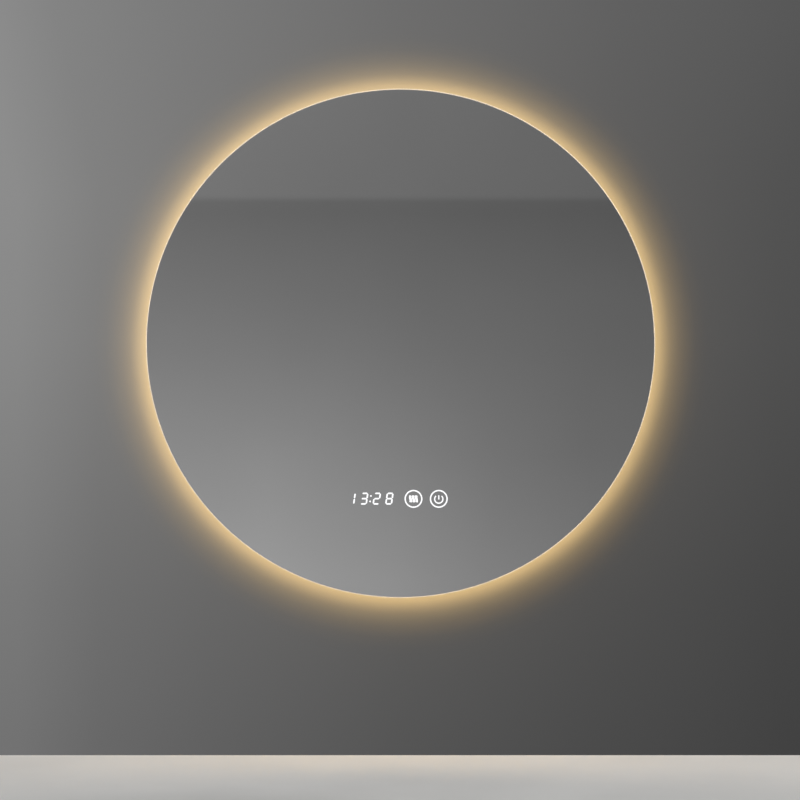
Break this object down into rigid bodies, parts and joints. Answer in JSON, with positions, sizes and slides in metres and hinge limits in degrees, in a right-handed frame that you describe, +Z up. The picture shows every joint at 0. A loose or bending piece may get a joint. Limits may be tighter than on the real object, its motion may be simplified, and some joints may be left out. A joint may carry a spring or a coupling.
{
  "type": "lighted bathroom mirror",
  "caption": "Round back-lit bathroom mirror with a clock and touch keys in the glass, hung by interlocking bars on the wall.",
  "frame": {"origin": "on the wall, at the middle of the wall bar's row of screw slots", "axes": "+X to the right and +Z up as the mirror is looked at, +Y into the wall"},
  "size_m": [0.7999, 0.04, 0.8],
  "materials": {
    "silvered_glass": "silvered float glass, polished edge",
    "bond_foam": "closed-cell foam tape",
    "heating_film": "clear polyester film with printed track",
    "white_plastic": "moulded, fine grain",
    "frame_aluminium": "satin anodised extrusion",
    "strip_board": "white solder mask",
    "light_chip": "phosphor in clear resin",
    "opal_diffuser": "extruded opal plastic, lit from behind",
    "soft_black": "moulded rubber",
    "galvanised_sheet": "galvanised sheet",
    "zinc_steel": "zinc plated",
    "rivet_aluminium": "plain aluminium",
    "driver_plastic": "moulded polycarbonate",
    "circuit_board": "glass-fibre board with solder mask",
    "ferrite": "ferrite core and taped winding",
    "capacitor_can": "plain can",
    "box_plastic": "moulded polycarbonate",
    "terminal_plastic": "moulded polyamide",
    "brass_fitting": "nickel-free brass",
    "lead_jacket": "soft cable sheath",
    "earth_jacket": "soft cable sheath with crimped tag",
    "black_plastic": "moulded, fine grain",
    "display_resin": "potted display block",
    "lit_segment": "milky light bar, lit white",
    "light_guide": "clear acrylic, lit white",
    "cell_steel": "nickel-plated can"
  },
  "bodies": {
    "wall_bracket": {"wall_bar": "zinc_steel"},
    "mirror": {"mirror_glass": "silvered_glass", "glass_bond_pads": "bond_foam", "demist_film": "heating_film", "demist_terminal": "white_plastic", "frame_ring": "frame_aluminium", "splice_plate": "frame_aluminium", "led_strip": "strip_board", "led_chips": "light_chip", "light_diffuser": "opal_diffuser", "strip_plug": "white_plastic", "lead_grommet": "soft_black", "back_panel": "galvanised_sheet", "panel_screws": "zinc_steel", "hanger_bar": "zinc_steel", "hanger_rivets": "rivet_aluminium", "wall_bumpers": "soft_black", "driver_tape": "bond_foam", "driver_case": "driver_plastic", "driver_cover": "driver_plastic", "driver_board": "circuit_board", "driver_transformer": "ferrite", "driver_capacitors": "capacitor_can", "junction_box": "box_plastic", "box_cover": "galvanised_sheet", "box_cover_screws": "zinc_steel", "cable_bush": "soft_black", "terminal_block": "terminal_plastic", "terminal_screws": "brass_fitting", "earth_stud": "brass_fitting", "earth_nut": "brass_fitting", "mains_lead": "lead_jacket", "strip_lead": "lead_jacket", "control_lead": "lead_jacket", "earth_lead": "earth_jacket", "demist_lead": "lead_jacket", "lead_clips": "white_plastic", "control_gasket": "bond_foam", "control_housing": "black_plastic", "control_board": "circuit_board", "clock_display": "display_resin", "clock_segments": "lit_segment", "demist_key_guide": "light_guide", "power_key_guide": "light_guide", "clock_battery": "cell_steel", "control_socket": "white_plastic"}
  },
  "joints": [
    {"name": "mirror_lift", "type": "slide", "parent": "wall_bracket", "child": "mirror", "axis": [0, 0, 1], "range_m": [0, 0.012]}
  ]
}
